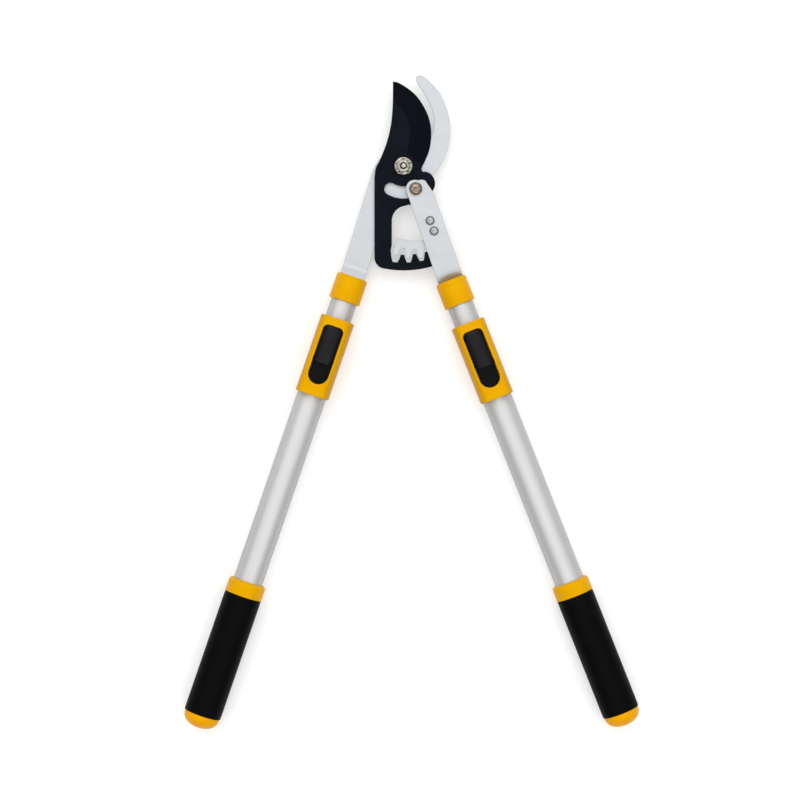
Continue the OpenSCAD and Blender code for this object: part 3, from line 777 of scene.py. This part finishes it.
def build_tubes(handle):
    """The ferrule, the inner tube with its holes, and the outer tube with the lock pin's slot."""
    handle.add("tube_ferrule_shell", ferrule_mesh(handle.side), handle.arm, yellow, "yellow_plastic",
               "tube_ferrule")
    holes = [upright(PIN_T + k * HOLE_PITCH, 5, INNER_R + 2, 3.2) for k in range(HOLES)]
    rivet_holes = [upright(t, -INNER_R - 2, INNER_R + 2, 2.4) for t in RIVET_T]
    tube = cut(tube_mesh("inner_tube", INNER_T, INNER_R), *holes, *rivet_holes)
    handle.add("inner_tube_drawn", tube, handle.arm, inner_metal, "inner_aluminium", "inner_tube")

    half, top, end, corner = 3.1, PIN_T - 4.2, PIN_T + 3.2, 3
    outline = [(-half, top, corner), (half, top, corner), (half, end, corner), (-half, end, corner)]
    slot = prism(rounded(outline, closed=True), 8, OUTER_R + 2)
    tube = cut(tube_mesh("outer_tube", OUTER_T, OUTER_R), slot, upright(SCREW_T, -OUTER_R - 2, -8, 2))
    handle.add("outer_tube_drawn", tube, handle.outer, outer_metal, "outer_aluminium", "outer_tube")


def build_lock(handle):
    """The housing, the button's two parts, and the coil under the button."""
    handle.add("lock_housing_shell", housing_mesh(), handle.outer, yellow_housing_shaded, "yellow_plastic",
               "lock_housing", edges=0.45)
    rocker = cut(make_mesh("lock_button", button_shape(rocker_stations())),
                 upright(PIN_T, 10, 22, 2.5), sideways(AXLE_T, -12, 12, AXLE_H, 1.6))
    handle.add("lock_button_rocker", rocker, handle.button, black, "black_plastic", "lock_button")
    pad = make_mesh("button_pad", button_shape(pad_stations()))
    handle.add("lock_button_pad", pad, handle.button, pad_black_shaded, "black_plastic", "lock_button")

    spring = handle.add("button_spring_coil", spring_mesh(), handle.outer, fastener, "fastener_steel",
                        "button_spring")
    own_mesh(spring)


def build_grip(handle):
    """The collar, the rubber sleeve and the end cap."""
    handle.add("grip_collar_ring", collar_mesh(), handle.outer, yellow, "yellow_plastic", "grip_collar")
    handle.add("grip_sleeve_skin", sleeve_mesh(), handle.outer, rubber, "grip_rubber", "grip_sleeve")
    handle.add("end_cap_dome", cap_mesh(), handle.outer, amber, "amber_plastic", "end_cap")


def build_screw(handle):
    """The screw in the back of the housing."""
    behind = Matrix.Translation((0, BACK_H * MM, SCREW_T * MM)) @ Matrix.Rotation(-pi / 2, 4, "X")
    piece(handle.side + "_housing_screw_head", screw_mesh(), handle.place @ behind, handle.outer, fastener,
          [handle.side + "_housing_screw"], edges=0.08)


def build_handle(handle):
    build_tubes(handle)
    build_lock(handle)
    build_grip(handle)
    build_screw(handle)
    for part, material in (("lock_pin", fastener_cad), ("button_axle", black_cad),
                           ("tang_rivets", fastener_cad), ("tang_plug", black_cad),
                           ("tube_slider", black_cad)):
        dress(f"{handle.side}_{part}", material)


# ---- the jaw ----

def dress(name, material, edges=0):
    """Gives a CAD node its material, and rounds its edges."""
    part = frame["nodes"][name]
    part.data.materials.clear()
    part.data.materials.append(material)
    if edges:
        weld = part.modifiers.new("weld", "WELD")
        weld.merge_threshold = 1e-6
        flats = part.modifiers.new("flats", "DECIMATE")
        flats.decimate_type = "DISSOLVE"
        flats.angle_limit = radians(0.2)
        finish_edges(part, edges)


def jaw_frame(joint):
    """The frame of pieces that turn about a joint of the jaw: upright, with its origin on the floor."""
    pivot = Vector(joints[joint]["pos_m"])
    return Matrix.Translation((pivot.x, pivot.y, 0))


def notches(radius, depth, width, low, high, count, start):
    """Boxes that notch a round rim, the first of them at the start angle."""
    notch = box_shape(radius - depth, radius + 2, -width / 2, width / 2, low, high)
    return [turned(notch, start + 2 * pi * k / count) for k in range(count)]


def build_pivot():
    """The notched nut, the bolt's shank and its hexagon head, and the washer."""
    place = jaw_frame("blade_pivot")
    low, high = (corner.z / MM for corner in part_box("pivot_nut"))
    nut_r, thread_r = 8.9, 5
    nut = make_mesh("pivot_nut", lathe(rounded([
        (low, thread_r), (low, nut_r, 0.3), (high - 2.0, nut_r, 0.8), (high - 1.0, 6.9, 0.4),
        (high - 1.5, 6.3, 0.2), (high, 5.8, 0.4), (high, thread_r)], closed=True), closed=True))
    nut = cut(nut, *notches(nut_r, depth=2.5, width=2.3, low=low + 0.8, high=high + 1, count=5,
                            start=radians(20)))
    piece("pivot_nut_notched", nut, place, "root", fastener, ["pivot_nut"], edges=0.16)

    bolt_low, bolt_high = (corner.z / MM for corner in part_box("pivot_bolt"))
    shank = make_mesh("pivot_bolt", lathe(rounded([
        (bolt_low + 3, 0), (bolt_low + 3, thread_r), (bolt_high - 1.1, thread_r, 0.6),
        (bolt_high - 0.7, 3.6, 0.3),
        (bolt_high - 2.2, 3.2, 0.2), (bolt_high - 2.2, 2.7, 0.2), (bolt_high - 0.3, 2.3, 0.8),
        (bolt_high, 0)]), steps=72))
    piece("pivot_bolt_shank", shank, place, "root", fastener, ["pivot_bolt"])
    hex_head("pivot_bolt_head", place, bolt_low, height=5.5, across=16, body="root")
    dress("pivot_washer", fastener_cad, 0.2)


def hex_head(name, place, low, height, across, body, stands_for=()):
    """A hexagon with chamfered corners, cut from a turned blank."""
    half = across / 2
    reach = across / sqrt(3)
    blank = make_mesh(name, lathe(rounded([
        (low, 0), (low, half - 0.3), (low + 0.9, reach), (low + height - 0.4, reach),
        (low + height, half - 0.1), (low + height, 0)])))
    flat = box_shape(half, across, -across, across, low - 1, low + height + 1)
    head = cut(blank, *[turned(flat, 2 * pi * k / 6 + pi / 6) for k in range(6)])
    piece(name, head, place, body, fastener, list(stands_for))


def build_link():
    """The turned link pin, its nut, and the bush in the blade's slot."""
    place = jaw_frame("handle_pivot")
    low, high = (corner.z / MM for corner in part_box("link_pin"))
    head = high - 2.8
    pin = make_mesh("link_pin", lathe(rounded([
        (low, 0), (low, 2.9, 0.3), (low + 0.5, 3.25, 0.3), (head - 5, 3.25), (head - 5, 5.5), (head, 5.5),
        (head, 6.7, 0.2), (head + 1.3, 6.7, 0.3), (head + 1.3, 6.2, 0.2), (head + 0.1, 6.1, 0.2),
        (head + 0.1, 4.9, 0.2), (high - 0.8, 4.5, 0.5), (high - 0.4, 3.4, 0.3), (high - 0.7, 3.1, 0.2),
        (high, 2.5, 0.5), (high - 0.1, 1.7, 0.3), (high - 1.3, 1.2, 0.2), (high - 1.5, 0)])))
    piece("link_pin_turned", pin, place, "root", pin_steel, ["link_pin"])
    nut_low, nut_high = (corner.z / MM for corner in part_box("link_nut"))
    hex_head("link_nut_hex", place, nut_low, nut_high - nut_low, across=14, body="root",
             stands_for=["link_nut"])
    dress("slot_bush", fastener_cad, 0.15)


def build_sector_rivets():
    """Two rivets with dished heads that hold the toothed sector to the right arm."""
    place = jaw_frame("blade_pivot")
    low, high = (corner.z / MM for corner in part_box("sector_rivets"))
    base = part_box("right_arm")[1].z / MM
    for name, (x, y) in SECTOR_RIVETS.items():
        rivet = make_mesh("rivet", lathe(rounded([
            (low, 0), (low, 2.5), (base, 2.5), (base, 4.75, 0.2), (base + 0.75, 4.75, 0.4),
            (base + 0.75, 4.3, 0.2), (base + 0.25, 4.1, 0.2), (base + 0.25, 3.6, 0.2), (high - 0.3, 3.2, 0.6),
            (high, 1.7, 0.8), (high - 0.45, 0.9, 0.4), (high - 0.55, 0)]), steps=64))
        stand = place @ Matrix.Translation((x * MM, y * MM, 0))
        piece(name + "_sector_rivet", rivet, stand, "right_arm", rivet_steel,
              ["sector_rivets"])


def build_jaw():
    """The plates keep their CAD shape; the pivot's, link's and sector's fasteners are made here."""
    dress("cutting_blade", blade_black, 0.25)
    dress("hook_arm", plate_left, 0.45)
    dress("right_arm", plate_right, 0.45)
    dress("gear_sector", plate_right, 0.3)
    build_pivot()
    build_link()
    build_sector_rivets()


# ---- stage, light and camera ----

LIGHT_LEAN = 0.2


def build_stage():
    """A pale floor that is large enough to reach the horizon in low views."""
    size = 40.0
    corners = [(-size, -size, 0), (size, -size, 0), (size, size, 0), (-size, size, 0)]
    mesh = bpy.data.meshes.new("floor")
    mesh.from_pydata(corners, [], [(0, 1, 2, 3)])
    mesh.materials.append(floor_paper())
    floor = bpy.data.objects.new("floor", mesh)
    bpy.context.collection.objects.link(floor)


def area_light(name, place, size, watts):
    """A round lamp that shines at the middle of the tool."""
    data = bpy.data.lights.new(name, "AREA")
    data.shape = "DISK"
    data.size = size
    data.energy = watts
    lamp = bpy.data.objects.new(name, data)
    lamp.location = place
    lamp.rotation_euler = (-Vector(place)).to_track_quat("-Z", "Y").to_euler()
    lamp.visible_camera = False
    bpy.context.collection.objects.link(lamp)


def build_light():
    """A white studio that is brightest overhead and leans toward the jaw's end of the tool."""
    world = bpy.data.worlds.new("studio")
    world.use_nodes = True
    tree = world.node_tree
    way = node(tree, "SeparateXYZ", {"Vector": node(tree, "TexCoord").outputs["Generated"]})
    lean = node(tree, "Math", {0: way.outputs["Y"], 1: LIGHT_LEAN, 2: way.outputs["Z"]},
                operation="MULTIPLY_ADD")
    ramp = node(tree, "ValToRGB", {"Fac": lean.outputs[0]})
    horizon, overhead = ramp.color_ramp.elements
    horizon.position = 0.0
    horizon.color = (0.04, 0.04, 0.042, 1)
    overhead.position = 0.88
    overhead.color = (1.0, 1.0, 1.0, 1)
    back = tree.nodes["Background"]
    back.inputs["Strength"].default_value = 1.38
    tree.links.new(ramp.outputs["Color"], back.inputs["Color"])
    bpy.context.scene.world = world
    area_light("key", (-0.3, 1.5, 2.1), size=2.4, watts=14)
    area_light("fill", (0.6, -1.3, 2.0), size=1.6, watts=6)


def build_camera():
    """Straight above the tool, far enough off to see it almost without perspective."""
    low, high = cad_box
    distance = 2.6
    field = 0.8
    aside = (-0.0116, 0.0023)
    data = bpy.data.cameras.new("camera")
    data.sensor_width = 36
    data.lens = data.sensor_width * distance / field
    camera = bpy.data.objects.new("camera", data)
    middle = (low + high) / 2
    camera.location = (middle.x + aside[0], middle.y + aside[1], distance + AXIS_H * MM)
    bpy.context.collection.objects.link(camera)
    bpy.context.scene.camera = camera


build_camera()
build_stage()
build_light()
build_jaw()
build_handle(Handle("left", "root"))
build_handle(Handle("right", "right_arm"))

bpy.context.scene.view_settings.view_transform = "Standard"
